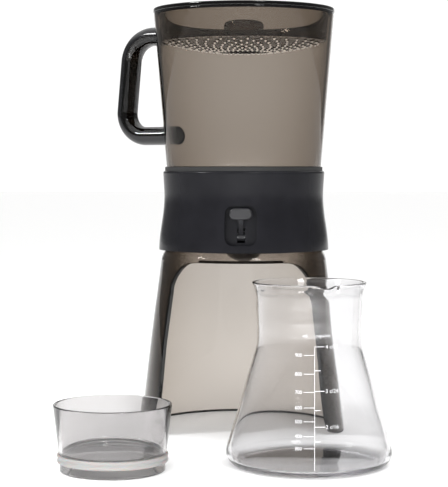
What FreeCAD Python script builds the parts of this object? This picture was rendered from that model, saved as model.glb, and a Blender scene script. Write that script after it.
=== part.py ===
import FreeCAD, Part
import os, math

os.makedirs("parts", exist_ok=True)
V = FreeCAD.Vector

# ---------------------------------------------------------------- driving dimensions (mm)
TOTAL_H = 375.0            # floor to the top of the distributor rim
# stand: outer radius against height, front arch half width against height
STAND_R = [(92.4, 1.5), (89.0, 33.0), (85.6, 62.0), (80.9, 100.0), (76.4, 132.0), (73.0, 158.5), (72.4, 163.5)]
STAND_WALL = 3.2
STAND_TOP = 163.5
FLANGE_IN = 63.0           # inner radius of the ring on top of the stand
FOOT_T = 1.5               # thickness of the non-slip strip
ARCH = [(84.0, -3.0), (80.0, 1.0), (76.2, 3.5), (74.0, 8.5), (72.3, 15.0), (68.9, 40.0), (66.9, 63.0),
        (65.3, 80.0), (62.6, 101.0), (59.7, 123.0)]
ARCH_CORNER = [(59.7, 123.0), (58.6, 131.0), (55.0, 139.5), (47.5, 148.5), (42.0, 151.2), (35.0, 152.0)]
# collar: outer radius against height
COLLAR_R = [(76.0, 161.0), (75.5, 170.0), (74.5, 178.5), (73.2, 187.0), (71.8, 198.0), (71.2, 209.0), (71.7, 220.0), (72.2, 228.6)]
COLLAR_WALL = 2.6
COLLAR_TOP = 231.0
# brewing container
CONT_R0, CONT_Z0, CONT_SLOPE = 69.2, 235.0, 0.0815
CONT_RIM = 371.5
CONT_WALL = 3.0
FLOOR_LO, FLOOR_HI = 211.0, 216.0
# distributor tray that sits in the container's mouth
RAIN_FL_R, RAIN_FL_T = 80.9, 3.5
RAIN_WALL = 2.5
KNOB_R, KNOB_TOP = 18.0, 370.5
RAIN_HOLE_R = 1.15
RAIN_RINGS = [66.5, 54.5, 42.5, 30.5]
RAIN_HOLES = 18
# handle: path in its own upright plane (distance from the axis, height)
HANDLE_TURN = 153.0        # plan angle of the handle's plane, from +X
HANDLE_PATH = [(66.0, 354.5), (117.5, 354.5), (126.5, 263.0), (60.0, 263.0)]
HANDLE_FILLETS = (25.0, 21.0)
HANDLE_A, HANDLE_B = 8.5, 11.5
# switch
SW_Y, SW_Z = -58.5, 174.0
HUB_R = 3.2
HEAD_W, HEAD_H, HEAD_T = 19.4, 10.0, 5.2
HEAD_Y, HEAD_Z = -71.4, 194.4
# recess
REC_W, REC_Z0, REC_Z1, REC_R = 27.5, 167.3, 201.2, 7.0
REC_WALL = 1.8
REC_BACK = -60.5
# rocker
RK_Y, RK_Z = 40.0, 177.0
# valve
ROD_R = 2.5
# screws
SCREW_C, SCREW_N = 52.0, 4
# carafe and stopper places on the counter
CAR_X, CAR_Y = 58.0, -174.0
CUP_X, CUP_Y = -94.0, -205.0
CAR_WALL = 1.9
CAR_R = [(56.0, 0.0), (61.5, 2.2), (65.0, 7.0), (65.6, 11.0), (62.6, 22.6), (56.8, 41.1), (50.4, 64.3), (44.6, 84.0),
         (41.9, 93.5), (41.0, 103.0), (41.6, 122.0), (42.3, 136.5), (44.9, 143.6)]


def vx(r, z):
    return V(r, 0, z)


def edge_line(a, b):
    return Part.makeLine(a, b)


def edge_spline(pts):
    s = Part.BSplineCurve()
    s.interpolate(pts)
    return s.toShape()


def revolve(items, x=0.0, y=0.0):
    """items: list of ('l'|'s', [(r, z), ...]) runs joined end to end, closed by the last point."""
    edges = []
    for kind, pts in items:
        p = [vx(*q) for q in pts]
        if kind == "s":
            edges.append(edge_spline(p))
        else:
            edges += [edge_line(p[i], p[i + 1]) for i in range(len(p) - 1)]
    w = Part.Wire(edges)
    f = Part.Face(w)
    s = f.revolve(V(0, 0, 0), V(0, 0, 1), 360)
    s.translate(V(x, y, 0))
    return s


def poly(pts, x=0.0, y=0.0):
    return revolve([("l", pts + [pts[0]])], x, y)


def tube(r0, r1, z0, z1, x=0.0, y=0.0):
    c = Part.makeCylinder(r1, z1 - z0, V(x, y, z0))
    if r0 > 0:
        c = c.cut(Part.makeCylinder(r0, z1 - z0 + 2, V(x, y, z0 - 1)))
    return c


def box(x0, x1, y0, y1, z0, z1):
    return Part.makeBox(x1 - x0, y1 - y0, z1 - z0, V(x0, y0, z0))


def xcyl(r, x0, x1, y, z):
    return Part.makeCylinder(r, x1 - x0, V(x0, y, z), V(1, 0, 0))


def rrect_prism(w, z0, z1, r, y0, y1):
    """rounded rectangle in the XZ plane, extruded along Y from y0 to y1"""
    h = w / 2.0
    a = math.sqrt(0.5)
    P = lambda x, z: V(x, y0, z)
    e = [edge_line(P(-h + r, z0), P(h - r, z0)),
         Part.Arc(P(h - r, z0), P(h - r + r * a, z0 + r - r * a), P(h, z0 + r)).toShape(),
         edge_line(P(h, z0 + r), P(h, z1 - r)),
         Part.Arc(P(h, z1 - r), P(h - r + r * a, z1 - r + r * a), P(h - r, z1)).toShape(),
         edge_line(P(h - r, z1), P(-h + r, z1)),
         Part.Arc(P(-h + r, z1), P(-h + r - r * a, z1 - r + r * a), P(-h, z1 - r)).toShape(),
         edge_line(P(-h, z1 - r), P(-h, z0 + r)),
         Part.Arc(P(-h, z0 + r), P(-h + r - r * a, z0 + r - r * a), P(-h + r, z0)).toShape()]
    return Part.Face(Part.Wire(e)).extrude(V(0, y1 - y0, 0))


def interp(tab, z):
    for (r0, z0), (r1, z1) in zip(tab, tab[1:]):
        if z0 <= z <= z1:
            return r0 + (r1 - r0) * (z - z0) / (z1 - z0)
    return tab[0][0] if z < tab[0][1] else tab[-1][0]


def out(shape, name):
    shape = shape.removeSplitter() if name not in SKIP_REFINE else shape
    sol = shape.Solids
    s = sol[0] if len(sol) == 1 else Part.makeCompound(sol)
    print("%-20s solids %d valid %s vol %.0f" % (name, len(sol), s.isValid(), sum(q.Volume for q in sol)))
    s.exportStep("parts/%s.step" % name)


SKIP_REFINE = {"valve_spring", "handle_grip", "handle_core", "carafe_scale"}

# ---------------------------------------------------------------- stand
inner = [(r - STAND_WALL, z) for r, z in STAND_R]
shell = revolve([("s", STAND_R),
                 ("l", [STAND_R[-1], (FLANGE_IN, STAND_TOP), (FLANGE_IN, STAND_TOP - 2.6),
                        (inner[-1][0], STAND_TOP - 2.6)]),
                 ("l", [(inner[-1][0], STAND_TOP - 2.6), (inner[-2][0] - 0.05, 158.0)]),
                 ("s", [(inner[-2][0] - 0.05, 158.0)] + inner[-3::-1]),
                 ("l", [inner[0], STAND_R[0]])])


def radial(pt):
    """where a point of the arch outline lies in the plane y = -50, seen from the axis"""
    x, z = pt
    r = interp(STAND_R, min(max(z, 1.5), 163.0)) - STAND_WALL
    return x * 50.0 / math.sqrt(max(r * r - x * x, 100.0))


def arch_wire(y):
    k = y / -50.0
    side = [V(radial(p) * k, y, p[1]) for p in ARCH]
    corner = [V(radial(p) * k, y, p[1]) for p in ARCH_CORNER]
    sl = [V(-p.x, p.y, p.z) for p in side]
    cl = [V(-p.x, p.y, p.z) for p in corner]
    e = [edge_spline(side), edge_spline(corner), edge_line(corner[-1], cl[-1]),
         edge_spline(cl[::-1]), edge_spline(sl[::-1]), edge_line(sl[0], side[0])]
    return Part.Wire(e)


arch = Part.makeLoft([arch_wire(-24.0), arch_wire(-110.0)], True, True)
stand_shell = shell.cut(arch)
out(stand_shell, "stand_shell")

foot = tube(89.3, 92.2, 0.0, FOOT_T).cut(arch)
out(foot, "foot_strip")

# ---------------------------------------------------------------- collar
c_in = [(r - COLLAR_WALL, z) for r, z in COLLAR_R]
collar_items = [("s", COLLAR_R),
                ("s", [(72.2, 228.6), (71.9, 230.3), (70.9, 231.0)]),
                ("l", [(70.9, 231.0), (69.55, 231.0), (69.55, 228.4), (c_in[-1][0], 227.6)]),
                ("s", [(c_in[-1][0], 227.6), c_in[-2], (c_in[-3][0], 211.0)]),
                ("l", [(c_in[-3][0], 211.0), (44.0, 211.0), (44.0, 207.0), (c_in[-3][0], 207.0)]),
                ("s", [(c_in[-3][0], 207.0)] + [(c_in[i][0], c_in[i][1]) for i in (4, 3, 2, 1)] + [c_in[0]]),
                ("l", [c_in[0], COLLAR_R[0]])]
collar = revolve(collar_items)
collar_full = revolve([("s", COLLAR_R), ("l", [COLLAR_R[-1], (0, 228.6), (0, 161.0), COLLAR_R[0]])])
pocket_outer = rrect_prism(REC_W + 2 * REC_WALL, REC_Z0 - REC_WALL, REC_Z1 + REC_WALL, REC_R + REC_WALL, -85.0, REC_BACK + REC_WALL)
collar = collar.cut(rrect_prism(REC_W + 2 * REC_WALL, REC_Z0 - REC_WALL, REC_Z1 + REC_WALL, REC_R + REC_WALL, -85.0, -50.0))
posts = [(SCREW_C * math.cos(math.radians(45 + 90 * i)), SCREW_C * math.sin(math.radians(45 + 90 * i))) for i in range(SCREW_N)]
for x, y in posts:
    collar = collar.cut(Part.makeCylinder(2.2, 8, V(x, y, 205)))
out(collar, "collar_shell")

# recess pocket behind the collar's window, with two cheeks for the switch pin
pocket = pocket_outer.common(collar_full).cut(rrect_prism(REC_W, REC_Z0, REC_Z1, REC_R, -90.0, REC_BACK))
cheeks = box(-8.5, -3.4, REC_BACK + 0.5, -53.8, 166.4, 182.6).fuse(box(3.4, 8.5, REC_BACK + 0.5, -53.8, 166.4, 182.6))
pocket = pocket.fuse(cheeks)
pocket = pocket.cut(box(-3.4, 3.4, -64.0, -50.0, 169.2, 182.0))
pocket = pocket.cut(xcyl(1.5, -9, 9, SW_Y, SW_Z))
out(pocket, "switch_recess")
out(xcyl(1.5, -8.5, 8.5, SW_Y, SW_Z), "switch_pin")

# ---------------------------------------------------------------- collar base plate with posts and rocker cheeks
deck = Part.makeCylinder(71.4, 2.0, V(0, 0, STAND_TOP)).cut(Part.makeCylinder(25.2, 6, V(0, 0, 161)))
for x, y in posts:
    deck = deck.fuse(Part.makeCylinder(6.0, 207.0 - 165.0, V(x, y, 165.0)))
for s in (-1, 1):
    x0, x1 = sorted((s * 3.5, s * 6.5))
    deck = deck.fuse(box(x0, x1, RK_Y - 5, RK_Y + 5, 165.0, 182.0))
for x, y in posts:
    deck = deck.cut(Part.makeCylinder(4.1, 40, V(x, y, 156.0))).cut(Part.makeCylinder(2.2, 30, V(x, y, 190.0)))
deck = deck.cut(xcyl(1.5, -10, 10, RK_Y, RK_Z))
out(deck, "collar_base")
out(xcyl(1.5, -6.5, 6.5, RK_Y, RK_Z), "rocker_pin")

screws = []
for x, y in posts:
    s = Part.makeCylinder(3.7, 3.0, V(x, y, 193.0)).fuse(Part.makeCylinder(1.9, 18.4, V(x, y, 196.0)))
    s = s.cut(box(x - 2.6, x + 2.6, y - 0.5, y + 0.5, 192.0, 194.4)).cut(box(x - 0.5, x + 0.5, y - 2.6, y + 2.6, 192.0, 194.4))
    screws.append(s)
out(Part.makeCompound(screws), "collar_screws")

# drip spout: bowl hanging through the base plate
spout = revolve([("l", [(29.5, 165.5), (29.5, 167.5), (22.4, 167.5)]),
                 ("s", [(22.4, 167.5), (21.0, 162.8), (16.6, 158.6), (12.4, 155.4), (7.6, 153.2), (2.6, 152.0)]),
                 ("l", [(2.6, 152.0), (2.6, 149.2), (3.8, 149.2)]),
                 ("s", [(3.8, 149.2), (9.0, 151.0), (13.8, 153.6), (17.6, 156.6), (22.6, 161.4), (24.9, 165.5)]),
                 ("l", [(24.9, 165.5), (29.5, 165.5)])])
out(spout, "drip_spout")

# ---------------------------------------------------------------- brewing container
cr = lambda z: CONT_R0 + CONT_SLOPE * (z - CONT_Z0)
cont = revolve([("l", [(cr(CONT_RIM), CONT_RIM), (cr(231), 231.0), (69.3 - 0.5, 229.5), (67.7, 216.0)]),
                ("s", [(67.7, 216.0), (66.7, 212.5), (63.5, 211.0)]),
                ("l", [(63.5, 211.0), (9.0, FLOOR_LO), (9.0, FLOOR_HI), (61.5, FLOOR_HI)]),
                ("s", [(61.5, FLOOR_HI), (64.1, 217.2), (65.0, 220.0)]),
                ("l", [(65.0, 220.0), (cr(231) - CONT_WALL, 231.0), (cr(CONT_RIM) - CONT_WALL, CONT_RIM), (cr(CONT_RIM), CONT_RIM)])])
for x, y in posts:
    cont = cont.cut(Part.makeCylinder(1.9, 3.6, V(x, y, 210.9)))
tube_screw_at = [(14.5 * math.cos(math.radians(a)), 14.5 * math.sin(math.radians(a))) for a in (30, 150, 270)]
for x, y in tube_screw_at:
    cont = cont.cut(Part.makeCylinder(1.2, 3.6, V(x, y, 210.9)))
out(cont, "brew_container")
gz = 234.6
out(poly([(cr(231), 231.0), (70.5, 231.0), (70.5, gz), (cr(gz), gz)]), "container_gasket")

# handle: two halves swept along one path, fixed to the container's wall
def handle_wire():
    p = [V(u, 0, z) for u, z in HANDLE_PATH]
    r1, r2 = HANDLE_FILLETS
    def corner(a, b, c, r):
        d0 = (a - b); d0.normalize()
        d1 = (c - b); d1.normalize()
        ang = d0.getAngle(d1)
        t = r / math.tan(ang / 2)
        s, e = b + d0 * t, b + d1 * t
        bis = d0 + d1
        bis.normalize()
        cen = b + bis * (r / math.sin(ang / 2))
        return s, cen - bis * r, e
    s1, m1, e1 = corner(p[0], p[1], p[2], r1)
    s2, m2, e2 = corner(p[1], p[2], p[3], r2)
    return Part.Wire([edge_line(p[0], s1), Part.Arc(s1, m1, e1).toShape(), edge_line(e1, s2),
                      Part.Arc(s2, m2, e2).toShape(), edge_line(e2, p[3])])


def half(sign):
    """half of an oval section at the path's start: Z is across the grip, Y its width"""
    x0, z0 = HANDLE_PATH[0]
    n = 24
    pts = [V(x0, HANDLE_B * math.cos(math.pi * i / n), z0 + sign * HANDLE_A * math.sin(math.pi * i / n)) for i in range(n + 1)]
    return Part.Wire([edge_spline(pts), edge_line(pts[-1], pts[0])])


hw = handle_wire()
cont_solid = revolve([("l", [(cr(CONT_RIM + 20), CONT_RIM + 20), (cr(205), 205.0), (0, 205.0), (0, CONT_RIM + 20), (cr(CONT_RIM + 20), CONT_RIM + 20)])])
for name, sign in (("handle_grip", 1), ("handle_core", -1)):
    pipe = hw.makePipeShell([half(sign)], True, False)
    pipe = Part.Solid(pipe) if not pipe.Solids else pipe.Solids[0]
    pipe.rotate(V(0, 0, 0), V(0, 0, 1), HANDLE_TURN)
    h = pipe.cut(cont_solid)
    big = sorted(h.Solids, key=lambda s: -s.Volume)[0]
    out(big, name)

# ---------------------------------------------------------------- drain, valve and its spring
seat = poly([(7.4, 209.6), (8.9, 209.6), (9.0, 211.0), (9.0, 216.0), (11.6, 216.0), (11.6, 217.2), (7.4, 217.2)])
seat = poly([(7.4, 211.0), (9.0, 211.0), (9.0, 216.0), (11.6, 216.0), (11.6, 217.2), (7.4, 217.2)])
out(seat, "valve_seat")

dt = tube(9.6, 12.0, 188.0, 211.0).fuse(tube(9.6, 18.5, 208.6, 211.0))
spider = tube(2.58, 5.4, 202.6, 206.2)
for a in (90, 210, 330):
    rib = box(4.6, 10.4, -1.0, 1.0, 202.6, 206.2)
    rib.rotate(V(0, 0, 0), V(0, 0, 1), a)
    spider = spider.fuse(rib)
dt = dt.fuse(spider)
for x, y in tube_screw_at:
    dt = dt.cut(Part.makeCylinder(1.4, 4, V(x, y, 208)))
out(dt, "drain_tube")
ds = []
for x, y in tube_screw_at:
    s = Part.makeCylinder(2.2, 1.7, V(x, y, 206.9)).fuse(Part.makeCylinder(1.2, 5.6, V(x, y, 208.6)))
    s = s.cut(box(x - 1.5, x + 1.5, y - 0.35, y + 0.35, 206.0, 207.7)).cut(box(x - 0.35, x + 0.35, y - 1.5, y + 1.5, 206.0, 207.7))
    ds.append(s)
out(Part.makeCompound(ds), "drain_tube_screws")

plunger = revolve([("l", [(0, 179.4), (1.7, 179.4), (ROD_R, 180.4), (ROD_R, 185.2), (1.9, 185.2), (1.9, 186.4), (ROD_R, 186.4),
                          (ROD_R, 218.5), (9.4, 218.5), (9.4, 220.6), (0, 220.6), (0, 179.4)])])
out(plunger, "valve_plunger")
out(poly([(ROD_R, 217.3), (10.9, 217.3), (10.9, 218.5), (ROD_R, 218.5)]), "valve_washer")
out(tube(1.9, 6.0, 185.3, 186.3), "spring_clip")
turns, wire_r, coil_r, z0, z1 = 5.0, 0.5, 4.3, 187.0, 201.9
helix = Part.makeHelix((z1 - z0) / turns, z1 - z0, coil_r)
helix.translate(V(0, 0, z0))
prof = Part.Wire([Part.makeCircle(wire_r, V(coil_r, 0, z0), V(0, 1, 0.12))])
spring = Part.Wire(helix.Edges).makePipeShell([prof], True, True)
spring = spring.Solids[0] if spring.Solids else Part.Solid(spring)
out(spring, "valve_spring")

# ---------------------------------------------------------------- switch lever and rocker
def slab(yz, x0, x1):
    p = [V(x0, a, b) for a, b in yz]
    return Part.Face(Part.Wire([edge_line(p[i], p[(i + 1) % len(p)]) for i in range(len(p))])).extrude(V(x1 - x0, 0, 0))


d = V(0, HEAD_Y - SW_Y, HEAD_Z - SW_Z)
L = d.Length
d.normalize()
nrm = V(0, -d.z, d.y)
def on(t, s):
    p = V(0, SW_Y, SW_Z) + d * t + nrm * s
    return (p.y, p.z)
# the stem narrows from the head to the hub
stem_a = slab([on(0, -1.6), on(L - 3.0, -1.4), on(L - 3.0, 1.4), on(0, 1.6)], -2.3, 2.3)
taper = []
for s in (-1, 1):
    w = Part.makePolygon([V(s * 1.6, 0, 0), V(s * 4, 0, 0), V(s * 4, 0, L - 5), V(s * 2.3, 0, L - 5), V(s * 1.6, 0, 0)])
    t = Part.Face(w).extrude(V(0, 12, 0))
    t.translate(V(0, -6, 0))
    t.rotate(V(0, 0, 0), V(1, 0, 0), math.degrees(math.atan2(-d.y, d.z)))
    t.translate(V(0, SW_Y, SW_Z))
    taper.append(t)
hub = xcyl(HUB_R, -3.0, 3.0, SW_Y, SW_Z)
arm = slab([(SW_Y, SW_Z - 2.6), (SW_Y + 10.0, SW_Z - 3.5), (SW_Y + 10.0, SW_Z - 0.5), (SW_Y, SW_Z + 2.4)], -2.6, 2.6)
arm = arm.fuse(xcyl(1.5, -2.6, 2.6, SW_Y + 10.0, SW_Z - 2.0))
head = rrect_prism(HEAD_W, HEAD_Z - HEAD_H / 2, HEAD_Z + HEAD_H / 2, 4.7, HEAD_Y - HEAD_T / 2, HEAD_Y + HEAD_T / 2)
try:
    head = head.makeFillet(1.6, [e for e in head.Edges if abs(e.BoundBox.YLength) < 1e-3])
except Exception as err:
    print("head fillet skipped", err)
lever = stem_a.fuse(hub).cut(taper[0]).cut(taper[1]).fuse(hub).fuse(arm).fuse(head)
lever = lever.cut(xcyl(1.56, -5, 5, SW_Y, SW_Z))
out(lever, "brew_switch")

rocker = box(-2.9, 2.9, -53.2, RK_Y, 175.0, 179.0).fuse(xcyl(4.0, -2.9, 2.9, RK_Y, RK_Z))
rocker = rocker.cut(xcyl(1.56, -5, 5, RK_Y, RK_Z))
out(rocker, "valve_rocker")

# ---------------------------------------------------------------- filter that lies on the container's floor
out(tube(29.0, 34.0, 216.0, 217.4), "filter_gasket")
frame = tube(32.6, 34.8, 217.4, 228.0).fuse(tube(29.6, 33.0, 217.4, 219.0))
for a in (0, 45, 90, 135):
    rib = box(-33.0, 33.0, -0.8, 0.8, 224.6, 226.4)
    rib.rotate(V(0, 0, 0), V(0, 0, 1), a)
    frame = frame.fuse(rib)
tab = tube(29.5, 33.0, 227.2, 229.0).common(box(-7, 7, -40, 0, 220, 240))
out(frame, "filter_frame")
out(Part.makeCylinder(32.6, 0.6, V(0, 0, 226.4)), "filter_mesh")

# ---------------------------------------------------------------- distributor tray
zf = TOTAL_H - RAIN_FL_T
rain = revolve([("l", [(74.0, TOTAL_H), (80.2, TOTAL_H)]),
                ("s", [(80.2, TOTAL_H), (80.7, 374.7), (RAIN_FL_R, 374.2)]),
                ("l", [(RAIN_FL_R, 374.2), (RAIN_FL_R, zf), (75.8, zf), (73.6, 349.0)]),
                ("s", [(73.6, 349.0), (72.6, 346.0), (69.5, 345.4), (45.0, 340.6), (28.0, 338.2), (18.0, 337.2), (15.5, 337.0)]),
                ("l", [(15.5, 337.0), (15.5, 364.0)]),
                ("s", [(15.5, 364.0), (14.6, 367.0), (11.6, 368.0)]),
                ("l", [(11.6, 368.0), (0, 368.0), (0, KNOB_TOP), (13.2, KNOB_TOP)]),
                ("s", [(13.2, KNOB_TOP), (16.6, 369.0), (KNOB_R, 365.4)]),
                ("l", [(KNOB_R, 365.4), (KNOB_R, 340.6)]),
                ("s", [(KNOB_R, 340.6), (28.0, 341.0), (45.0, 343.3), (66.5, 347.6), (70.0, 348.6), (71.1, 350.6)]),
                ("l", [(71.1, 350.6), (73.2, 373.0), (74.0, TOTAL_H)])])
holes = []
for k, rr in enumerate(RAIN_RINGS):
    for i in range(RAIN_HOLES):
        a = math.radians(360.0 / RAIN_HOLES * (i + 0.5 * (k % 2)))
        holes.append(Part.makeCylinder(RAIN_HOLE_R, 20, V(rr * math.cos(a), rr * math.sin(a), 333)))
rain = rain.cut(Part.makeCompound(holes))
out(rain, "rainmaker_tray")

# ---------------------------------------------------------------- carafe
ci = [(r - CAR_WALL, z) for r, z in CAR_R[4:]]
car = revolve([("l", [(0, 1.2), (50.0, 1.2), (53.0, 0.0), CAR_R[0]]),
               ("s", CAR_R[:4]),
               ("s", CAR_R[3:]),
               ("s", [CAR_R[-1], (44.4, 144.6), (43.2, 144.4)]),
               ("s", [(43.2, 144.4)] + [(ci[-2][0], ci[-2][1])] + ci[-3::-1] + [(63.4, 11.5)]),
               ("s", [(63.4, 11.5), (62.2, 6.6), (58.0, 4.0), (52.0, 3.2)]),
               ("l", [(52.0, 3.2), (0, 3.2), (0, 1.2)])], CAR_X, CAR_Y)
out(car, "carafe_glass")
# printed scale: one upright line with ticks to both sides, a thin raised print on the front of the glass
t = 0.15
oa = [(r + 0.004, z) for r, z in CAR_R[3:]]
ob = [(r + t, z) for r, z in oa]
skin = revolve([("s", oa), ("l", [oa[-1], ob[-1]]), ("s", ob[::-1]), ("l", [ob[0], oa[0]])], CAR_X, CAR_Y)
tick_r = [(98.0, 11.2), (80.3, 8.4), (65.2, 11.6), (51.2, 8.4), (39.1, 12.0), (28.6, 8.4)]
tick_l = [(91.7, 4.2), (77.8, 4.2), (64.5, 4.2), (53.1, 4.2), (43.0, 4.2), (32.4, 4.2), (23.6, 4.2)]
pr = box(CAR_X + 3.8, CAR_X + 4.4, CAR_Y - 75, CAR_Y - 20, 12.0, 98.3)
for z, w in tick_r:
    pr = pr.fuse(box(CAR_X + 3.8, CAR_X + w, CAR_Y - 75, CAR_Y - 20, z - 0.35, z + 0.35))
for z, w in tick_l:
    pr = pr.fuse(box(CAR_X - w, CAR_X + 4.4, CAR_Y - 75, CAR_Y - 20, z - 0.3, z + 0.3))
out(skin.common(pr), "carafe_scale")

# ---------------------------------------------------------------- stopper: cup over a plug with a seal
cup = revolve([("l", [(38.6, 0.0), (39.6, 0.0)]),
               ("s", [(39.6, 0.0), (40.7, 0.6), (41.0, 2.0)]),
               ("l", [(41.0, 2.0), (41.0, 7.0), (39.6, 7.0), (39.6, 14.0), (41.9, 14.0), (46.3, 51.4)]),
               ("s", [(46.3, 51.4), (45.5, 52.0), (44.5, 51.6)]),
               ("l", [(44.5, 51.6), (39.7, 16.0)]),
               ("s", [(39.7, 16.0), (38.9, 14.3), (37.0, 13.8)]),
               ("l", [(37.0, 13.8), (0, 13.8), (0, 11.2), (37.2, 11.2), (37.6, 2.0), (38.6, 0.0)])], CUP_X, CUP_Y)
out(cup, "stopper_cup")
seal = revolve([("l", [(39.6, 7.2), (42.2, 7.2)]),
                ("s", [(42.2, 7.2), (43.2, 8.0), (43.1, 9.4), (42.6, 10.5)]),
                ("s", [(42.6, 10.5), (43.2, 11.6), (43.2, 12.8), (42.2, 13.8)]),
                ("l", [(42.2, 13.8), (39.6, 13.8), (39.6, 7.2)])], CUP_X, CUP_Y)
out(seal, "stopper_seal")
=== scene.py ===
import math

import bmesh
import bpy
from mathutils import Matrix, Vector


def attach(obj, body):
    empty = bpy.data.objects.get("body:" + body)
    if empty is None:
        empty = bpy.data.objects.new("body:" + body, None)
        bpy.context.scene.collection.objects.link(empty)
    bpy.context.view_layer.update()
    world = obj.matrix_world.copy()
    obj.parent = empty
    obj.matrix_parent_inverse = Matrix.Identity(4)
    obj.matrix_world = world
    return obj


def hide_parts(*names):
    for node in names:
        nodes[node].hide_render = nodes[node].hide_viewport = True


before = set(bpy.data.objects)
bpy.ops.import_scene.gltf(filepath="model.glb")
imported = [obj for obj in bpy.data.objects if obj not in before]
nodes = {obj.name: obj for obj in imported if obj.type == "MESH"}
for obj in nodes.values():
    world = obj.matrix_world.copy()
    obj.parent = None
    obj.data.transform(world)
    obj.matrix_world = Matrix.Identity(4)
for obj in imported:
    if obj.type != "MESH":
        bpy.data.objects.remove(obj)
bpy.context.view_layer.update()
MM = 0.001
scene = bpy.context.scene

# ------------------------------------------------------------------ places and sizes (mm)
CAR_X, CAR_Y = 58.0, -174.0
CUP_X, CUP_Y = -94.0, -205.0


# ------------------------------------------------------------------ mesh helpers
def spline(pts, per=8, closed=False):
    """centripetal Catmull-Rom through 2D points"""
    out = []
    n = len(pts)
    for i in range(n - 1):
        p0 = pts[i - 1] if i > 0 else (2 * pts[0][0] - pts[1][0], 2 * pts[0][1] - pts[1][1])
        p1, p2 = pts[i], pts[i + 1]
        p3 = pts[i + 2] if i + 2 < n else (2 * pts[-1][0] - pts[-2][0], 2 * pts[-1][1] - pts[-2][1])
        t0 = 0.0
        t1 = t0 + max(math.dist(p0, p1), 1e-6) ** 0.5
        t2 = t1 + max(math.dist(p1, p2), 1e-6) ** 0.5
        t3 = t2 + max(math.dist(p2, p3), 1e-6) ** 0.5
        for k in range(per):
            t = t1 + (t2 - t1) * k / per
            q = []
            for c in (0, 1):
                a1 = (t1 - t) / (t1 - t0) * p0[c] + (t - t0) / (t1 - t0) * p1[c]
                a2 = (t2 - t) / (t2 - t1) * p1[c] + (t - t1) / (t2 - t1) * p2[c]
                a3 = (t3 - t) / (t3 - t2) * p2[c] + (t - t2) / (t3 - t2) * p3[c]
                b1 = (t2 - t) / (t2 - t0) * a1 + (t - t0) / (t2 - t0) * a2
                b2 = (t3 - t) / (t3 - t1) * a2 + (t - t1) / (t3 - t1) * a3
                q.append((t2 - t) / (t2 - t1) * b1 + (t - t1) / (t2 - t1) * b2)
            out.append(tuple(q))
    out.append(tuple(pts[-1]))
    return out


def fillet(pts, closed=True, seg=5):
    """pts: (x, y) or (x, y, radius). Rounds each corner that has a radius."""
    n = len(pts)
    out = []
    for i, p in enumerate(pts):
        r = p[2] if len(p) > 2 else 0.0
        a, b = pts[i - 1], pts[(i + 1) % n]
        if r <= 0 or (not closed and i in (0, n - 1)):
            out.append((p[0], p[1]))
            continue
        va, vb = Vector((a[0] - p[0], a[1] - p[1])), Vector((b[0] - p[0], b[1] - p[1]))
        la, lb = va.length, vb.length
        va.normalize(); vb.normalize()
        ang = math.acos(max(-1, min(1, va.dot(vb))))
        if ang > math.pi - 0.02:
            out.append((p[0], p[1]))
            continue
        t = min(r / math.tan(ang / 2), 0.48 * la, 0.48 * lb)
        rr = t * math.tan(ang / 2)
        s, e = Vector(p[:2]) + va * t, Vector(p[:2]) + vb * t
        cen = Vector(p[:2]) + (va + vb).normalized() * (rr / math.sin(ang / 2))
        a0, a1 = math.atan2(s.y - cen.y, s.x - cen.x), math.atan2(e.y - cen.y, e.x - cen.x)
        d = (a1 - a0 + math.pi) % (2 * math.pi) - math.pi
        for k in range(seg + 1):
            w = a0 + d * k / seg
            out.append((cen.x + rr * math.cos(w), cen.y + rr * math.sin(w)))
    return out


def finish_mesh(bm, name, sharp=40):
    bmesh.ops.remove_doubles(bm, verts=bm.verts, dist=1e-7)
    bmesh.ops.dissolve_degenerate(bm, dist=1e-8, edges=bm.edges)
    bmesh.ops.recalc_face_normals(bm, faces=bm.faces)
    me = bpy.data.meshes.new(name)
    bm.to_mesh(me)
    bm.free()
    me.shade_smooth()
    me.set_sharp_from_angle(angle=math.radians(sharp))
    ob = bpy.data.objects.new(name, me)
    scene.collection.objects.link(ob)
    return ob


def lathe(name, prof, n=160, x=0.0, y=0.0, sharp=40, warp=None, phase=0.0):
    """prof: closed loop of (r, z) in mm. Points with r = 0 are poles."""
    bm = bmesh.new()
    rings = []
    for r, z in prof:
        if r < 1e-6:
            rings.append([bm.verts.new(((x) * MM, (y) * MM, z * MM))])
        else:
            ring = []
            for i in range(n):
                a = 2 * math.pi * i / n + phase
                px, py, pz = r * math.cos(a), r * math.sin(a), z
                if warp:
                    px, py, pz = warp(px, py, pz, a, r)
                ring.append(bm.verts.new(((px + x) * MM, (py + y) * MM, pz * MM)))
            rings.append(ring)
    m = len(rings)
    for k in range(m):
        a, b = rings[k], rings[(k + 1) % m]
        if len(a) == 1 and len(b) == 1:
            continue
        for i in range(n):
            j = (i + 1) % n
            if len(a) == 1:
                bm.faces.new((a[0], b[i], b[j]))
            elif len(b) == 1:
                bm.faces.new((a[i], a[j], b[0]))
            else:
                bm.faces.new((a[i], a[j], b[j], b[i]))
    return finish_mesh(bm, name, sharp)


# ------------------------------------------------------------------ materials
def new_mat(name):
    m = bpy.data.materials.new(name)
    m.use_nodes = True
    nt = m.node_tree
    for n in list(nt.nodes):
        nt.nodes.remove(n)
    out = nt.nodes.new("ShaderNodeOutputMaterial")
    bsdf = nt.nodes.new("ShaderNodeBsdfPrincipled")
    nt.links.new(bsdf.outputs[0], out.inputs["Surface"])
    return m, nt, bsdf, out


def noise(nt, scale, detail=3.0, rough=0.55, coord="Object"):
    tc = nt.nodes.new("ShaderNodeTexCoord")
    nz = nt.nodes.new("ShaderNodeTexNoise")
    nz.inputs["Scale"].default_value = scale
    nz.inputs["Detail"].default_value = detail
    nz.inputs["Roughness"].default_value = rough
    nt.links.new(tc.outputs[coord], nz.inputs["Vector"])
    return nz


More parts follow.
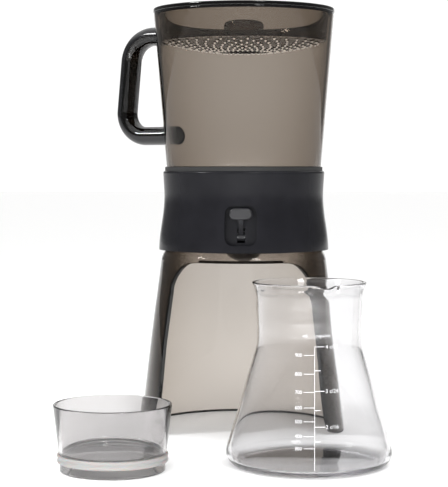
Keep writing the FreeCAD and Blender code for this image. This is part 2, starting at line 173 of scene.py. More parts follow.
def ramp(nt, src, lo, hi):
    mr = nt.nodes.new("ShaderNodeMapRange")
    mr.inputs["From Min"].default_value = 0.3
    mr.inputs["From Max"].default_value = 0.7
    mr.inputs["To Min"].default_value = lo
    mr.inputs["To Max"].default_value = hi
    nt.links.new(src, mr.inputs["Value"])
    return mr.outputs["Result"]


def bump(nt, bsdf, src, strength, dist):
    b = nt.nodes.new("ShaderNodeBump")
    b.inputs["Strength"].default_value = strength
    b.inputs["Distance"].default_value = dist
    nt.links.new(src, b.inputs["Height"])
    nt.links.new(b.outputs["Normal"], bsdf.inputs["Normal"])


def clear_mat(name, absorb, ior=1.49, r0=0.0, r1=0.02, wave=0.02, spec=0.5):
    """see-through moulding or glass: absorb = how much light is lost per metre in red, green and blue"""
    m, nt, bsdf, out = new_mat(name)
    bsdf.inputs["Base Color"].default_value = (1, 1, 1, 1)
    bsdf.inputs["Transmission Weight"].default_value = 1.0
    bsdf.inputs["IOR"].default_value = ior
    bsdf.inputs["Specular IOR Level"].default_value = spec
    nz = noise(nt, 26.0, 2.0)
    nt.links.new(ramp(nt, nz.outputs["Fac"], r0, r1), bsdf.inputs["Roughness"])
    if wave:
        nb = noise(nt, 9.0, 1.0)
        bump(nt, bsdf, nb.outputs["Fac"], wave, 0.002)
    if max(absorb) > 0:
        top = max(absorb) * 1.2
        va = nt.nodes.new("ShaderNodeVolumeAbsorption")
        va.inputs["Color"].default_value = (1 - absorb[0] / top, 1 - absorb[1] / top, 1 - absorb[2] / top, 1)
        va.inputs["Density"].default_value = top
        nt.links.new(va.outputs[0], out.inputs["Volume"])
    return m


def paint_leg_shade(m, mid, leg):
    """painted shade: base colour darker in the front of the stand, darkest in its two legs, by the object's own X and Y
    """
    nt = m.node_tree
    bsdf = [n for n in nt.nodes if n.type == "BSDF_PRINCIPLED"][0]
    tc = nt.nodes.new("ShaderNodeTexCoord")
    sp = nt.nodes.new("ShaderNodeSeparateXYZ")
    nt.links.new(tc.outputs["Object"], sp.inputs[0])
    ab = nt.nodes.new("ShaderNodeMath")
    ab.operation = "ABSOLUTE"
    nt.links.new(sp.outputs["X"], ab.inputs[0])

    def span(src, lo, hi):
        r = nt.nodes.new("ShaderNodeMapRange")
        r.interpolation_type = "SMOOTHSTEP"
        r.inputs["From Min"].default_value = lo
        r.inputs["From Max"].default_value = hi
        nt.links.new(src, r.inputs["Value"])
        return r.outputs["Result"]

    cr = nt.nodes.new("ShaderNodeValToRGB")
    cr.color_ramp.elements[0].color = tuple(mid) + (1,)
    cr.color_ramp.elements[1].color = tuple(leg) + (1,)
    nt.links.new(span(ab.outputs[0], 0.036, 0.064), cr.inputs["Fac"])
    mix = nt.nodes.new("ShaderNodeMixRGB")
    mix.inputs["Color2"].default_value = (1, 1, 1, 1)
    nt.links.new(span(sp.outputs["Y"], -0.045, 0.02), mix.inputs["Fac"])
    nt.links.new(cr.outputs["Color"], mix.inputs["Color1"])
    nt.links.new(mix.outputs["Color"], bsdf.inputs["Base Color"])


def solid_mat(name, col, r0, r1, scale=60.0, var=0.25, bstr=0.0, bdist=0.0002, metal=0.0, spec=0.5, coat=0.0, bscale=None, sss=0.0):
    m, nt, bsdf, out = new_mat(name)
    nz = noise(nt, scale, 4.0)
    cr = nt.nodes.new("ShaderNodeValToRGB")
    cr.color_ramp.elements[0].position = 0.3
    cr.color_ramp.elements[1].position = 0.7
    cr.color_ramp.elements[0].color = tuple(c * (1 - var) for c in col) + (1,)
    cr.color_ramp.elements[1].color = tuple(min(1, c * (1 + var)) for c in col) + (1,)
    nt.links.new(nz.outputs["Fac"], cr.inputs["Fac"])
    nt.links.new(cr.outputs["Color"], bsdf.inputs["Base Color"])
    nt.links.new(ramp(nt, nz.outputs["Fac"], r0, r1), bsdf.inputs["Roughness"])
    bsdf.inputs["Metallic"].default_value = metal
    bsdf.inputs["Specular IOR Level"].default_value = spec
    bsdf.inputs["Coat Weight"].default_value = coat
    if sss:
        bsdf.inputs["Subsurface Weight"].default_value = sss
        bsdf.inputs["Subsurface Scale"].default_value = 0.003
    if bstr:
        nb = noise(nt, bscale or scale * 3, 3.0)
        bump(nt, bsdf, nb.outputs["Fac"], bstr, bdist)
    return m


SMOKE = (205.0, 230.0, 258.0)
M_smoke = clear_mat("smoked_plastic", SMOKE, 1.26, 0.0, 0.02, 0.02, 0.5)
M_smoke_stand = clear_mat("smoked_stand_plastic", SMOKE, 1.26, 0.0, 0.02, 0.02, 0.25)
M_smoke_tray = clear_mat("smoked_tray_plastic", tuple(2.0 * c for c in SMOKE), 1.49, 0.0, 0.02, 0.0)
M_smoke_handle = clear_mat("smoked_handle_plastic", (260.0, 285.0, 310.0), 1.49, 0.0, 0.03, 0.02)
# painted shade: a near-black base colour for the dark look of thick smoked rims and cut edges
M_rim_painted_shade = clear_mat("smoked_rim_painted_shade", tuple(1.25 * c for c in SMOKE), 1.49, 0.0, 0.02, 0.0, 0.05)
M_rim_painted_shade.node_tree.nodes["Principled BSDF"].inputs["Base Color"].default_value = (0.012, 0.011, 0.010, 1)
# painted shade: a dark base colour for the skin strips beside the stand's cut edges and above the arch
M_edge_painted_shade = clear_mat("smoked_edge_painted_shade", SMOKE, 1.26, 0.0, 0.02, 0.0, 0.25)
M_edge_painted_shade.node_tree.nodes["Principled BSDF"].inputs["Base Color"].default_value = (0.04, 0.036, 0.032, 1)
M_cup = clear_mat("cup_plastic", (12.0, 13.0, 13.0), 1.5, 0.0, 0.02, 0.03)
M_cup.node_tree.nodes["Principled BSDF"].inputs["Base Color"].default_value = (0.68, 0.67, 0.67, 1)
M_glass = clear_mat("carafe_glass_clear", (34.0, 35.0, 32.0), 1.45, 0.0, 0.004, 0.02)
M_black = solid_mat("black_gloss", (0.0072, 0.0072, 0.0086), 0.17, 0.22, 40, 0.2, 0.03, 0.0001, spec=0.12, bscale=700)
M_grip = solid_mat("black_grip", (0.006, 0.006, 0.0068), 0.10, 0.18, 40, 0.2, 0.04, 0.0001, spec=0.4, bscale=500)
M_satin = solid_mat("black_satin", (0.010, 0.010, 0.011), 0.32, 0.42, 60, 0.25, 0.12, 0.0001, bscale=1400)
M_rubber = solid_mat("black_rubber", (0.008, 0.008, 0.008), 0.5, 0.62, 60, 0.25, 0.12, 0.0001, bscale=1400)
M_grey = solid_mat("grey_plastic", (0.0115, 0.0115, 0.013), 0.26, 0.36, 50, 0.12, 0.10, 0.0001, bscale=1600)
M_steel = solid_mat("steel", (0.55, 0.55, 0.56), 0.18, 0.3, 120, 0.1, 0.05, 0.0001, metal=1.0)
M_print = solid_mat("white_print", (0.46, 0.46, 0.47), 0.45, 0.55, 300, 0.04)


# painted shade: the stand's front and its two legs are darkened in the base colour
paint_leg_shade(M_smoke_stand, (0.86, 0.84, 0.82), (0.13, 0.11, 0.09))


def silicone(name):
    m, nt, bsdf, out = new_mat(name)
    bsdf.inputs["Base Color"].default_value = (0.26, 0.255, 0.25, 1)
    bsdf.inputs["Transmission Weight"].default_value = 0.12
    bsdf.inputs["IOR"].default_value = 1.41
    bsdf.inputs["Subsurface Weight"].default_value = 0.4
    bsdf.inputs["Subsurface Scale"].default_value = 0.004
    nz = noise(nt, 90.0, 3.0)
    nt.links.new(ramp(nt, nz.outputs["Fac"], 0.28, 0.42), bsdf.inputs["Roughness"])
    bump(nt, bsdf, nz.outputs["Fac"], 0.05, 0.0002)
    return m


M_sil = silicone("white_silicone")


def mesh_mat():
    """fine woven steel gauze: warp and weft as bump and colour"""
    m, nt, bsdf, out = new_mat("steel_gauze")
    tc = nt.nodes.new("ShaderNodeTexCoord")
    waves = []
    for d in ("X", "Y"):
        w = nt.nodes.new("ShaderNodeTexWave")
        w.bands_direction = d
        w.inputs["Scale"].default_value = 420.0
        nt.links.new(tc.outputs["Object"], w.inputs["Vector"])
        waves.append(w)
    mx = nt.nodes.new("ShaderNodeMath")
    mx.operation = "MAXIMUM"
    nt.links.new(waves[0].outputs["Fac"], mx.inputs[0])
    nt.links.new(waves[1].outputs["Fac"], mx.inputs[1])
    cr = nt.nodes.new("ShaderNodeValToRGB")
    cr.color_ramp.elements[0].color = (0.10, 0.10, 0.10, 1)
    cr.color_ramp.elements[1].color = (0.62, 0.61, 0.6, 1)
    nt.links.new(mx.outputs[0], cr.inputs["Fac"])
    nt.links.new(cr.outputs["Color"], bsdf.inputs["Base Color"])
    bsdf.inputs["Metallic"].default_value = 0.9
    nt.links.new(ramp(nt, mx.outputs[0], 0.5, 0.3), bsdf.inputs["Roughness"])
    bump(nt, bsdf, mx.outputs[0], 0.4, 0.0002)
    return m


M_gauze = mesh_mat()


def nozzle_glow_mat():
    """painted highlight: the ends of the tray's little moulded nozzles are near white and glow faintly"""
    m, nt, bsdf, out = new_mat("nozzle_ends_painted_glow")
    bsdf.inputs["Base Color"].default_value = (0.95, 0.93, 0.91, 1)
    bsdf.inputs["Transmission Weight"].default_value = 0.15
    bsdf.inputs["Emission Color"].default_value = (1.0, 0.98, 0.95, 1)
    bsdf.inputs["Emission Strength"].default_value = 0.4
    nz = noise(nt, 120.0, 2.0)
    nt.links.new(ramp(nt, nz.outputs["Fac"], 0.12, 0.22), bsdf.inputs["Roughness"])
    return m


M_nozzle_glow = nozzle_glow_mat()


def give(ob, mat):
    ob.data.materials.clear()
    ob.data.materials.append(mat)
    return ob


def piece(ob, body, mat, slot, *reps):
    give(ob, mat)
    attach(ob, body)
    if reps:
        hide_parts(*reps)
    return ob


# ------------------------------------------------------------------ camera (at the photograph's angle)
AZ = math.radians(2.1)
DIST, EYE = 1.393, 0.237
cam_data = bpy.data.cameras.new("camera")
cam_data.lens = 114.58
cam_data.sensor_width = 36.0
cam_data.sensor_fit = "AUTO"
cam_data.clip_start = 0.05
cam_data.clip_end = 30.0
cam = bpy.data.objects.new("camera", cam_data)
scene.collection.objects.link(cam)
cam.location = (DIST * math.sin(AZ), -DIST * math.cos(AZ), EYE)
YAW = AZ + math.atan(19.7 / 1550.0)          # turned so that the axis stands right of the middle
PITCH = math.radians(2.93)
cam.rotation_mode = "XYZ"
cam.rotation_euler = (math.pi / 2 - PITCH, 0.0, YAW)
scene.camera = cam

# ------------------------------------------------------------------ stand
STAND_R = [(92.4, 1.5), (89.0, 33.0), (85.6, 62.0), (80.9, 100.0), (76.4, 132.0), (74.0, 150.5), (73.75, 152.6), (73.3, 154.4), (72.4, 156.8), (71.1, 159.2), (69.6, 161.4), (68.2, 163.5)]
ARCH = [(80.5, 1.0), (76.4, 3.5), (74.0, 8.5), (72.3, 15.0), (68.9, 40.0), (66.9, 63.0),
        (65.3, 80.0), (62.6, 101.0), (59.7, 123.0), (58.6, 131.0), (55.0, 139.5), (47.5, 148.5), (42.0, 151.2), (35.0, 152.0)]
stand_dense = spline(STAND_R, 14)


def at_z(tab, z):
    for (r0, z0), (r1, z1) in zip(tab, tab[1:]):
        if z0 <= z <= z1:
            return r0 + (r1 - r0) * (z - z0) / max(z1 - z0, 1e-9)
    return tab[0][0] if z < tab[0][1] else tab[-1][0]


def build_stand():
    W = 3.2
    arch = spline(ARCH, 7)
    arch = [(x, z) for x, z in arch if z >= 1.5]
    arch.insert(0, (at_z([(x, z) for x, z in spline(ARCH, 7)], 1.5), 1.5))
    NB, NF = 132, 28
    bm = bmesh.new()

    def rows(off):
        low, top = [], []
        for x, z in arch:
            r = at_z(stand_dense, z) - off
            ri = at_z(stand_dense, z) - W
            al = math.asin(min(0.999, x / ri))
            row = []
            for i in range(NB + 1):
                t = i / NB
                a = al + (2 * math.pi - 2 * al) * t
                row.append(bm.verts.new((-r * math.sin(-a) * MM if False else r * math.sin(a) * MM, -r * math.cos(a) * MM, z * MM)))
            low.append(row)
        x, z = arch[-1]
        al = math.asin(x / (at_z(stand_dense, z) - W))
        zs = [152.0, 154.0, 157.0, 160.0, 162.2, 163.5]
        for k, z in enumerate(zs):
            r = at_z(stand_dense, z) - off
            if k == 0:
                back = low[-1]
            else:
                back = [bm.verts.new((r * math.sin(al + (2 * math.pi - 2 * al) * i / NB) * MM,
                                      -r * math.cos(al + (2 * math.pi - 2 * al) * i / NB) * MM, z * MM)) for i in range(NB + 1)]
            front = [back[-1]] + [bm.verts.new((r * math.sin(-al + 2 * al * i / NF) * MM,
                                                -r * math.cos(-al + 2 * al * i / NF) * MM, z * MM)) for i in range(1, NF)] + [back[0]]
            top.append((back, front))
        return low, top

    lo_o, top_o = rows(0.0)
    lo_i, top_i = rows(W)

    def skin(low, top):
        for a, b in zip(low, low[1:]):
            for i in range(NB):
                bm.faces.new((a[i], a[i + 1], b[i + 1], b[i]))
        for (b0, f0), (b1, f1) in zip(top, top[1:]):
            for a, b in ((b0, b1), (f0, f1)):
                for i in range(len(a) - 1):
                    bm.faces.new((a[i], a[i + 1], b[i + 1], b[i]))

    # outer skin to the top; inner skin stops under the flange
    skin(lo_o, top_o)
    # inner: rows up to z = 160, then the flange's underside, its inner edge and its top
    skin(lo_i, top_i[:4])
    fl = []
    for r, z in ((64.0, 160.0), (63.2, 160.6), (63.0, 162.0), (63.2, 163.1), (64.0, 163.5)):
        x, zz = arch[-1]
        al = math.asin(x / (at_z(stand_dense, zz) - W))
        back = [bm.verts.new((r * math.sin(al + (2 * math.pi - 2 * al) * i / NB) * MM,
                              -r * math.cos(al + (2 * math.pi - 2 * al) * i / NB) * MM, z * MM)) for i in range(NB + 1)]
        front = [back[-1]] + [bm.verts.new((r * math.sin(-al + 2 * al * i / NF) * MM,
                                            -r * math.cos(-al + 2 * al * i / NF) * MM, z * MM)) for i in range(1, NF)] + [back[0]]
        fl.append((back, front))
    chain = [top_i[3]] + fl + [top_o[-1]]
    for (b0, f0), (b1, f1) in zip(chain, chain[1:]):
        for a, b in ((b0, b1), (f0, f1)):
            for i in range(len(a) - 1):
                bm.faces.new((a[i], a[i + 1], b[i + 1], b[i]))
    # loose inner rows above the flange's underside
    for b, f in top_i[4:]:
        for v in set(b + f[1:-1]):
            if v.is_valid:
                bm.verts.remove(v)
    # bottom edge, leg edges and the arch's top edge
    for i in range(NB):
        bm.faces.new((lo_o[0][i], lo_o[0][i + 1], lo_i[0][i + 1], lo_i[0][i]))
    for side in (0, NB):
        for k in range(len(lo_o) - 1):
            bm.faces.new((lo_o[k][side], lo_o[k + 1][side], lo_i[k + 1][side], lo_i[k][side]))
    fo, fi = top_o[0][1], top_i[0][1]
    for i in range(NF):
        bm.faces.new((fo[i], fo[i + 1], fi[i + 1], fi[i]))
    ob = finish_mesh(bm, "stand_body", 30)
    bev = ob.modifiers.new("soft_edges", "BEVEL")
    bev.width = 0.0007
    bev.segments = 3
    bev.limit_method = "ANGLE"
    bev.angle_limit = math.radians(50)
    bev.harden_normals = True
    return ob


stand = piece(build_stand(), "stand", M_smoke_stand, "smoked_plastic", "stand_shell")
# painted shade: the arch's cut edges get a near-black base colour, and the skin strips beside the leg edges and above
# the arch a dark one, for the nearly black look of thick smoked edges
stand.data.materials.append(M_rim_painted_shade)
stand.data.materials.append(M_edge_painted_shade)
arch_dense = spline(ARCH, 7)
for f in stand.data.polygons:
    fr, fz = math.hypot(f.center.x, f.center.y) / MM, f.center.z / MM
    inset = at_z(stand_dense, fz) - fr
    turn = math.atan2(abs(f.center.x), -f.center.y)
    al = math.asin(min(0.999, at_z(arch_dense, min(fz, 152.0)) / (at_z(stand_dense, min(fz, 152.0)) - 3.2)))
    if 0.5 < inset < 2.7 and fz < 152.6:
        f.material_index = 1
    elif fz < 152.0 and turn < al + 0.9 * (2 * math.pi - 2 * al) / 132:
        f.material_index = 2
    elif 152.0 < fz < 154.0 and turn < al:
        f.material_index = 2

# ------------------------------------------------------------------ container
cr = lambda z: 69.2 + 0.0815 * (z - 235.0)
prof = fillet([(cr(371.5), 371.5, 0.8), (cr(369.6), 369.6), (cr(300), 300.0), (cr(231), 231.0, 0.4), (68.8, 229.5, 0.5), (67.7, 216.0, 2.5), (66.5, 211.0, 3.0), (9.0, 211.0, 0.3),
               (9.0, 216.0, 0.3), (64.2, 216.0, 4.0), (65.6, 231.0, 3.0), (cr(300) - 3.0, 300.0), (cr(369.6) - 3.0, 369.6), (cr(371.5) - 3.0, 371.5, 0.8)])
container = piece(lathe("container_body", prof, 176), "container", M_smoke, "smoked_plastic", "brew_container")
# painted shade: the container's top rim band gets the near-black rim finish
container.data.materials.append(M_rim_painted_shade)
for f in container.data.polygons:
    if f.center.z > 0.3696:
        f.material_index = 1


# ------------------------------------------------------------------ distributor tray with its holes
def build_tray():
    T = [(18.0, 340.6), (28.0, 341.0), (45.0, 343.3), (66.5, 347.6), (69.5, 348.5)]
    B = [(18.0, 337.2), (28.0, 338.2), (45.0, 340.6), (66.5, 344.9), (69.5, 345.5)]
    top, bot = spline(T, 12), spline(B, 12)
    ft = lambda r: at_r(top, r)
    fb = lambda r: at_r(bot, r)
    N = 144
    bm = bmesh.new()

    def v(r, a, z):
        return bm.verts.new((r * math.cos(a) * MM, r * math.sin(a) * MM, z * MM))

    rings_r = [66.5, 60.5, 54.5, 48.5, 42.5, 36.5, 30.5, 24.5]
    grid = {}

    def gv(r, k, side):
        """shared vertex of the dish at radius r, quarter step k of 144"""
        key = (round(r, 3), k % N, side)
        if key not in grid:
            grid[key] = v(r, 2 * math.pi * (k % N) / N, ft(r) if side else fb(r))
        return grid[key]

    for ri, rc in enumerate(rings_r):
        ra, rb = rc - 3.0, rc + 3.0
        for c in range(36):
            k0 = c * 4 + (2 if ri % 2 else 0)
            loops = []
            for side in (0, 1):
                hr = 0.85 if side else 0.45
                outer = [gv(ra, k0 + q, side) for q in range(5)] + [gv(rc, k0 + 4, side)] + \
                        [gv(rb, k0 + 4 - q, side) for q in range(5)] + [gv(rc, k0, side)]
                ac = 2 * math.pi * (k0 + 2) / N
                cx, cy = rc * math.cos(ac), rc * math.sin(ac)
                hole = []
                for o in outer:
                    d = Vector((o.co.x / MM - cx, o.co.y / MM - cy))
                    hole.append(math.atan2(d.y, d.x))
                m = len(outer)
                # even spacing of the hole's corners, started where the first outer corner points
                base = hole[0]
                sgn = 1.0
                dd = (hole[1] - hole[0] + math.pi) % (2 * math.pi) - math.pi
                sgn = 1.0 if dd > 0 else -1.0
                hv = []
                for q in range(m):
                    w = base + sgn * 2 * math.pi * q / m
                    px, py = cx + hr * math.cos(w), cy + hr * math.sin(w)
                    rr = math.hypot(px, py)
                    hv.append(bm.verts.new((px * MM, py * MM, (ft(rr) if side else fb(rr) - 1.9) * MM)))
                rim = outer
                if side == 0:
                    # a short nozzle stands down round the hole's lower end
                    for rad, down in ((1.45, 0.0), (1.1, 0.8), (0.75, 1.6)):
                        nv = []
                        for q in range(m):
                            w = base + sgn * 2 * math.pi * q / m
                            px, py = cx + rad * math.cos(w), cy + rad * math.sin(w)
                            nv.append(bm.verts.new((px * MM, py * MM, (fb(math.hypot(px, py)) - down) * MM)))
                        for q in range(m):
                            j = (q + 1) % m
                            bm.faces.new((rim[q], rim[j], nv[j], nv[q]))
                        rim = nv
                for q in range(m):
                    j = (q + 1) % m
                    bm.faces.new((rim[q], rim[j], hv[j], hv[q]))
                loops.append(hv)
            m = len(loops[0])
            for q in range(m):
                j = (q + 1) % m
                bm.faces.new((loops[0][q], loops[0][j], loops[1][j], loops[1][q]))

    def strip(path, first=None, last=None):
        """rings along an open path; first and last are given rings of vertices"""
        prev = first
        for idx, (r, z) in enumerate(path):
            if r < 1e-6:
                p = bm.verts.new((0, 0, z * MM))
                for i in range(N):
                    bm.faces.new((prev[i], prev[(i + 1) % N], p))
                prev = [p]
                continue
            ring = [v(r, 2 * math.pi * i / N, z) for i in range(N)]
            if prev is not None:
                if len(prev) == 1:
                    for i in range(N):
                        bm.faces.new((ring[i], ring[(i + 1) % N], prev[0]))
                else:
                    for i in range(N):
                        j = (i + 1) % N
                        bm.faces.new((prev[i], prev[j], ring[j], ring[i]))
            prev = ring
        if last is not None:
            for i in range(N):
                j = (i + 1) % N
                bm.faces.new((prev[i], prev[j], last[j], last[i]))

    inner_t = [gv(21.5, k, 1) for k in range(N)]
    inner_b = [gv(21.5, k, 0) for k in range(N)]
    outer_t = [gv(69.5, k, 1) for k in range(N)]
    outer_b = [gv(69.5, k, 0) for k in range(N)]
    wall = fillet([(69.5, 348.5), (71.0, 348.8, 1.2), (73.2, 373.0), (73.6, 374.9, 1.2), (80.85, 375.0, 1.0), (80.85, 371.5, 0.5), (76.2, 371.5, 0.8),
                   (75.8, 371.0), (73.6, 346.8), (73.0, 345.7, 1.6), (69.5, 345.5)], closed=False)
    strip(wall[1:-1], outer_t, outer_b)
    knob = fillet([(21.5, 340.75), (18.0, 340.7, 1.2), (18.0, 370.5, 3.6), (0.0, 370.5)], closed=False, seg=8)
    strip(knob[1:], inner_t)
    inside = fillet([(21.5, 337.5), (15.5, 337.0, 0.6), (15.5, 368.0, 2.4), (0.0, 368.0)], closed=False, seg=8)
    strip(inside[1:], inner_b)
    return finish_mesh(bm, "distributor", 35)


def at_r(tab, r):
    for (r0, z0), (r1, z1) in zip(tab, tab[1:]):
        if r0 <= r <= r1:
            return z0 + (z1 - z0) * (r - r0) / max(r1 - r0, 1e-9)
    return tab[0][1] if r < tab[0][0] else tab[-1][1]


tray = piece(build_tray(), "rainmaker", M_smoke_tray, "smoked_plastic", "rainmaker_tray")
# painted highlight: the nozzles' lower ends get the near-white glowing finish
tray.data.materials.append(M_nozzle_glow)
# painted shade: the tray flange's top band gets the near-black rim finish
tray.data.materials.append(M_rim_painted_shade)
TRAY_UNDER = spline([(18.0, 337.2), (28.0, 338.2), (45.0, 340.6), (66.5, 344.9), (69.5, 345.5)], 12)
for f in tray.data.polygons:
    fr, fz = math.hypot(f.center.x, f.center.y) / MM, f.center.z / MM
    if 22.0 < fr < 69.3 and fz < at_r(TRAY_UNDER, fr) - 0.85:
        f.material_index = 1
    elif fz > 371.2 and fr > 73.5:
        f.material_index = 2

# ------------------------------------------------------------------ carafe
CAR_R = [(56.0, 0.0), (61.5, 2.2), (65.0, 7.0), (65.6, 11.0), (62.6, 22.6), (56.8, 41.1), (50.4, 64.3), (44.6, 84.0),
         (41.9, 93.5), (41.0, 103.0), (41.6, 122.0), (42.3, 136.5), (44.9, 143.6)]
LIP = math.radians(-73.5)      # the pouring lip's direction in plan


def lip(px, py, pz, a, r):
    d = (a - LIP + math.pi) % (2 * math.pi) - math.pi
    up = max(0.0, min(1.0, (pz - 131.0) / 13.0))
    out = 3.2 * up ** 1.6 * math.exp(-(d / 0.12) ** 2)
    pinch = -1.3 * up ** 1.4 * (math.exp(-((d - 0.25) / 0.09) ** 2) + math.exp(-((d + 0.25) / 0.09) ** 2))
    k = (r + out + pinch) / r
    return px * k, py * k, pz - 2.0 * up ** 2 * math.exp(-(d / 0.13) ** 2)


outer = [(52.0, 0.0)] + spline(CAR_R, 7)
inner = spline([(42.15, 143.2), (41.2, 140.6), (40.4, 136.5), (39.7, 122.0), (39.1, 103.0), (40.0, 93.5), (42.7, 84.0), (48.5, 64.3), (54.9, 41.1), (60.7, 22.6),
                (63.5, 11.5), (62.3, 6.6), (58.0, 4.0), (52.0, 3.2)], 7)
prof = [(0.0, 1.4), (44.0, 1.3), (49.0, 0.7)] + outer + [(44.9, 144.25), (44.35, 144.7), (43.5, 144.75), (42.7, 144.45), (42.35, 143.9)] + inner + [(30.0, 3.25), (0.0, 3.3)]
carafe = piece(lathe("carafe_body", prof, 200, CAR_X, CAR_Y, warp=lip), "carafe", M_glass, "clear_glass", "carafe_glass")
car_dense = spline(CAR_R, 7)


def car_r(z):
    return at_z(car_dense[20:], z)


def build_scale():
    bm = bmesh.new()
    lift = 0.12

    def put(u, z):
        """u: distance to the right along the glass from the scale's line, z: height"""
        r = car_r(z) + lift
        a = -math.pi / 2 + u / r
        return bm.verts.new(((CAR_X + r * math.cos(a)) * MM, (CAR_Y + r * math.sin(a)) * MM, z * MM))

    def bar(u0, u1, z0, z1, nu=1, nz=1):
        g = [[put(u0 + (u1 - u0) * i / nu, z0 + (z1 - z0) * k / nz) for i in range(nu + 1)] for k in range(nz + 1)]
        for k in range(nz):
            for i in range(nu):
                bm.faces.new((g[k][i], g[k][i + 1], g[k + 1][i + 1], g[k + 1][i]))

    bar(3.85, 4.25, 7.5, 98.2, 1, 64)
    for z, w in ((98.0, 7.0), (80.3, 4.2), (65.2, 7.4), (51.2, 4.2), (39.1, 7.8), (28.6, 4.2)):
        bar(4.35, 4.35 + w, z - 0.24, z + 0.24, 8)
    for z in (91.7, 77.8, 64.5, 53.1, 43.0, 32.4, 23.6):
        bar(-4.2, 3.75, z - 0.2, z + 0.2, 8)

    def text(s, u, z, size, right=False):
        cu = bpy.data.curves.new("t", "FONT")
        cu.body = s
        cu.size = size
        cu.resolution_u = 3
        ob = bpy.data.objects.new("t", cu)
        scene.collection.objects.link(ob)
        bpy.context.view_layer.update()
        me = bpy.data.meshes.new_from_object(ob)
        xs = [q.co.x for q in me.vertices]
        off = -max(xs) if right else -min(xs)
        vs = [put(u + q.co.x + off, z + q.co.y - size * 0.34) for q in me.vertices]
        for f in me.polygons:
            try:
                bm.faces.new([vs[i] for i in f.vertices])
            except ValueError:
                pass
        bpy.data.objects.remove(ob)
        bpy.data.curves.remove(cu)
        bpy.data.meshes.remove(me)

    text("cups/oz", 4.6, 106.6, 3.8)
    text("ml", -5.0, 106.6, 3.8)
    for z, s in ((98.0, "4 c/32"), (65.2, "3 c/24"), (39.1, "2 c/16")):
        text(s, 12.6, z, 4.2)
    for z, s in ((91.7, "900"), (77.8, "800"), (64.5, "700"), (53.1, "600"), (43.0, "500"), (32.4, "400"), (23.6, "300")):
        text(s, -5.6, z, 3.7, right=True)
    bmesh.ops.recalc_face_normals(bm, faces=bm.faces)
    me = bpy.data.meshes.new("carafe_print")
    bm.to_mesh(me)
    bm.free()
    ob = bpy.data.objects.new("carafe_print", me)
    scene.collection.objects.link(ob)
    return ob


scale = piece(build_scale(), "carafe", M_print, "white_print", "carafe_scale")

# ------------------------------------------------------------------ stopper
cup_prof = fillet([(38.4, 0.0, 0.5), (41.0, 0.0, 1.6), (41.0, 7.0, 0.3), (39.7, 7.05), (39.7, 13.95), (41.9, 14.0, 0.3), (46.25, 52.0, 1.0), (44.15, 52.0, 0.9),
                   (39.7, 13.8, 2.6), (0.0, 13.8), (0.0, 11.2), (37.4, 11.2, 1.4)])
cup = piece(lathe("stopper_body", cup_prof, 160, CUP_X, CUP_Y), "stopper", M_cup, "clear_smoked_plastic", "stopper_cup")
seal_prof = fillet([(39.65, 7.2), (42.9, 7.2, 0.8), (43.2, 8.8, 0.6), (42.5, 10.5, 0.5), (43.2, 12.2, 0.6), (42.9, 13.8, 0.8), (39.65, 13.8)])
seal = piece(lathe("stopper_ring", seal_prof, 160, CUP_X, CUP_Y), "stopper", M_sil, "white_silicone", "stopper_seal")

# ------------------------------------------------------------------ CAD nodes that stay, with their finishes
finishes = {
    "collar_shell": M_black, "container_gasket": M_rubber, "foot_strip": M_rubber, "handle_grip": M_grip, "handle_core": M_smoke_handle,
    "switch_recess": M_black, "switch_pin": M_steel, "collar_base": M_satin, "rocker_pin": M_steel, "collar_screws": M_steel,
    "drip_spout": M_satin, "valve_seat": M_sil, "drain_tube": M_satin, "drain_tube_screws": M_steel, "valve_spring": M_steel,
    "brew_switch": M_grey, "valve_rocker": M_satin, "valve_plunger": M_grey, "valve_washer": M_sil, "spring_clip": M_steel,
    "filter_gasket": M_sil, "filter_frame": M_satin, "filter_mesh": M_gauze,
}
for name, mat in finishes.items():
    ob = nodes[name]
    give(ob, mat)
    ob.data.shade_smooth()
    ob.data.set_sharp_from_angle(angle=math.radians(32))

# ------------------------------------------------------------------ floor, light
bpy.ops.mesh.primitive_plane_add(size=24.0, location=(0, 0, -0.0003))
floor = bpy.context.active_object
floor.name = "floor"
fm, fnt, fb_, fo_ = new_mat("floor_paint")
fb_.inputs["Base Color"].default_value = (0.93, 0.93, 0.93, 1)
fb_.inputs["Roughness"].default_value = 0.65
fb_.inputs["Specular IOR Level"].default_value = 0.2
give(floor, fm)

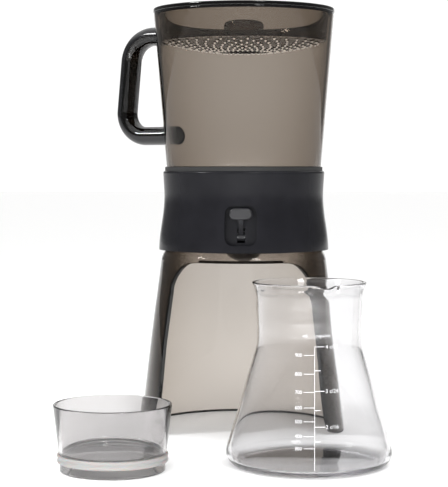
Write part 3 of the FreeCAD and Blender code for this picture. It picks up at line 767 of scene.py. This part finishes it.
world = bpy.data.worlds.new("studio")
scene.world = world
world.use_nodes = True
wt = world.node_tree
for n in list(wt.nodes):
    wt.nodes.remove(n)
wo = wt.nodes.new("ShaderNodeOutputWorld")
bg = wt.nodes.new("ShaderNodeBackground")
tc = wt.nodes.new("ShaderNodeTexCoord")
sep = wt.nodes.new("ShaderNodeSeparateXYZ")
wt.links.new(tc.outputs["Generated"], sep.inputs[0])


def step(axis, lo, hi, top):
    r = wt.nodes.new("ShaderNodeMapRange")
    r.interpolation_type = "SMOOTHSTEP"
    r.inputs["From Min"].default_value = lo
    r.inputs["From Max"].default_value = hi
    r.inputs["To Min"].default_value = SIDE
    r.inputs["To Max"].default_value = top
    wt.links.new(sep.outputs[axis], r.inputs["Value"])
    return r.outputs["Result"]


SIDE = 0.24                      # sides and front, low down
mx = wt.nodes.new("ShaderNodeMath")
mx.operation = "MAXIMUM"
wt.links.new(step("Y", 0.90, 0.965, 1.06), mx.inputs[0])      # white wall behind
wt.links.new(step("Z", 0.34, 0.62, 1.31), mx.inputs[1])       # soft ceiling
wt.links.new(mx.outputs[0], bg.inputs["Strength"])
bg.inputs["Color"].default_value = (1.0, 0.998, 0.995, 1)
wt.links.new(bg.outputs[0], wo.inputs["Surface"])


def area(name, loc, target, sx, sy, power, col=(1, 1, 1)):
    ld = bpy.data.lights.new(name, "AREA")
    ld.shape = "RECTANGLE"
    ld.size, ld.size_y = sx, sy
    ld.energy = power
    ld.color = col
    ob = bpy.data.objects.new(name, ld)
    scene.collection.objects.link(ob)
    ob.location = loc
    ob.rotation_euler = (Vector(target) - Vector(loc)).to_track_quat("-Z", "Y").to_euler()
    return ob


area("box_left", (-1.15, -0.50, 1.10), (0, 0, 0.2), 0.30, 0.30, 11)
area("box_right", (0.46, -1.18, 1.10), (0, 0, 0.2), 0.30, 0.30, 6)
low = area("low_fill", (0.0, -1.5, 0.36), (0, 0, 0.0), 1.2, 0.4, 36)
low.visible_glossy = False
low.visible_transmission = False

scene.view_settings.view_transform = "Standard"
scene.view_settings.look = "None"
scene.view_settings.exposure = 0.0
scene.cycles.max_bounces = 28
scene.cycles.transmission_bounces = 24
scene.cycles.transparent_max_bounces = 24
scene.cycles.glossy_bounces = 8
scene.cycles.diffuse_bounces = 4
scene.cycles.volume_bounces = 0
